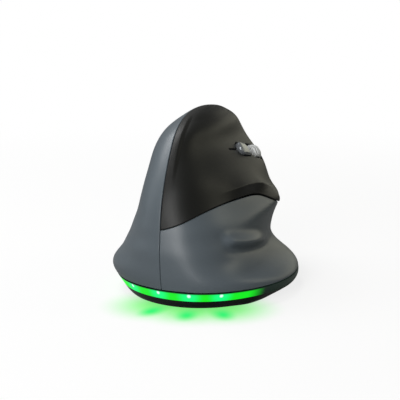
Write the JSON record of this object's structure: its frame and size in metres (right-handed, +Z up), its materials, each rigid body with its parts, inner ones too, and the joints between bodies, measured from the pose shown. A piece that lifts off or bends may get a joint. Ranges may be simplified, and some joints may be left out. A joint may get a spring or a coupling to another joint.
{
  "type": "computer mouse",
  "caption": "Upright right-handed wireless computer mouse: finger keys, ribbed wheel, speed key, thumb keys, hollowed finger side and a lit band round its foot.",
  "frame": {"origin": "on the desk, under the middle of the body's bounding box", "axes": "+Z up, +Y forward to the key end, +X towards the finger side; the thumb side is -X"},
  "size_m": [0.0752, 0.0998, 0.0736],
  "materials": {
    "shell_grey": "satin",
    "panel_black": "satin",
    "thumb_black": "satin",
    "base_black": "gloss",
    "ring_green": "translucent satin",
    "foot_black": "smooth",
    "steel": "plated",
    "board_green": "solder mask",
    "strip_white": "solder mask",
    "emitter_white": "moulded",
    "frame_grey": "moulded",
    "case_black": "moulded",
    "plunger_white": "moulded",
    "encoder_teal": "moulded",
    "key_silver": "gloss",
    "tyre_grey": "soft",
    "hub_grey": "gloss",
    "lens_clear": "clear moulding",
    "cell_silver": "foil pouch",
    "pad_foam": "foam",
    "lead_red": "smooth",
    "ribbon_white": "smooth"
  },
  "bodies": {
    "housing": {"left_shell": "shell_grey", "right_shell": "shell_grey", "palm_panel": "panel_black", "base_plate": "base_black", "light_ring": "ring_green", "glide_feet": "foot_black", "base_screws": "steel", "frame_screws": "steel", "key_board_screws": "steel", "main_board_screws": "steel", "thumb_board_screws": "steel", "charge_port": "steel", "key_board": "board_green", "main_board": "board_green", "thumb_board": "board_green", "light_strip": "strip_white", "light_emitters": "emitter_white", "key_frame": "frame_grey", "dpi_guide": "frame_grey", "left_switch": "case_black", "right_switch": "case_black", "dpi_switch": "case_black", "middle_switch": "case_black", "thumb_switches": "case_black", "motion_sensor": "case_black", "controller_chip": "case_black", "power_switch": "case_black", "battery_connector": "plunger_white", "ribbon_sockets": "plunger_white", "wheel_encoder": "encoder_teal", "sensor_lens": "lens_clear", "battery": "cell_silver", "battery_pad": "pad_foam", "battery_leads": "lead_red", "ribbon_cable": "ribbon_white"},
    "left_key": {"left_button": "panel_black", "left_plunger": "plunger_white"},
    "right_key": {"right_button": "panel_black", "right_plunger": "plunger_white"},
    "speed_key": {"dpi_button": "key_silver", "dpi_plunger": "plunger_white"},
    "yoke": {"wheel_yoke": "frame_grey", "middle_plunger": "plunger_white"},
    "wheel": {"wheel_hub": "hub_grey", "wheel_tyre": "tyre_grey"},
    "back_key": {"back_button": "thumb_black", "back_plunger": "plunger_white"},
    "forward_key": {"forward_button": "thumb_black", "forward_plunger": "plunger_white"},
    "power_knob": {"power_slider": "plunger_white"},
    "receiver": {"receiver_case": "case_black", "receiver_plug": "steel"}
  },
  "joints": [
    {"name": "left_press", "type": "hinge", "parent": "housing", "child": "left_key", "pos_m": [0.00936, -0.00384, 0.05683], "axis": [-0.5574, 0.2, 0.8058], "range_deg": [0, 0.59], "stiffness_Nm_per_rad": 2.5},
    {"name": "right_press", "type": "hinge", "parent": "housing", "child": "right_key", "pos_m": [0.00936, -0.00384, 0.05683], "axis": [-0.5574, 0.2, 0.8058], "range_deg": [0, 0.59], "stiffness_Nm_per_rad": 2.5},
    {"name": "speed_press", "type": "slide", "parent": "housing", "child": "speed_key", "axis": [-0.8298, -0.1004, -0.549], "range_m": [0, 0.0003], "stiffness_N_per_m": 5000},
    {"name": "middle_press", "type": "hinge", "parent": "housing", "child": "yoke", "pos_m": [-0.00347, 0.02543, 0.04627], "axis": [0.0289, 0.9746, -0.222], "range_deg": [0, 1.2], "stiffness_Nm_per_rad": 0.5},
    {"name": "wheel_spin", "type": "hinge", "parent": "yoke", "child": "wheel", "pos_m": [0.00643, 0.02543, 0.04753], "axis": [-0.5574, 0.2, 0.8058], "continuous": true},
    {"name": "back_press", "type": "slide", "parent": "housing", "child": "back_key", "axis": [1, 0, 0], "range_m": [0, 0.0004], "stiffness_N_per_m": 1500},
    {"name": "forward_press", "type": "slide", "parent": "housing", "child": "forward_key", "axis": [1, 0, 0], "range_m": [0, 0.0004], "stiffness_N_per_m": 1500},
    {"name": "power_slide", "type": "slide", "parent": "housing", "child": "power_knob", "axis": [1, 0, 0], "range_m": [0, 0.0025]},
    {"name": "receiver_out", "type": "slide", "parent": "housing", "child": "receiver", "axis": [0, 0, -1], "range_m": [0, 0.008]}
  ]
}
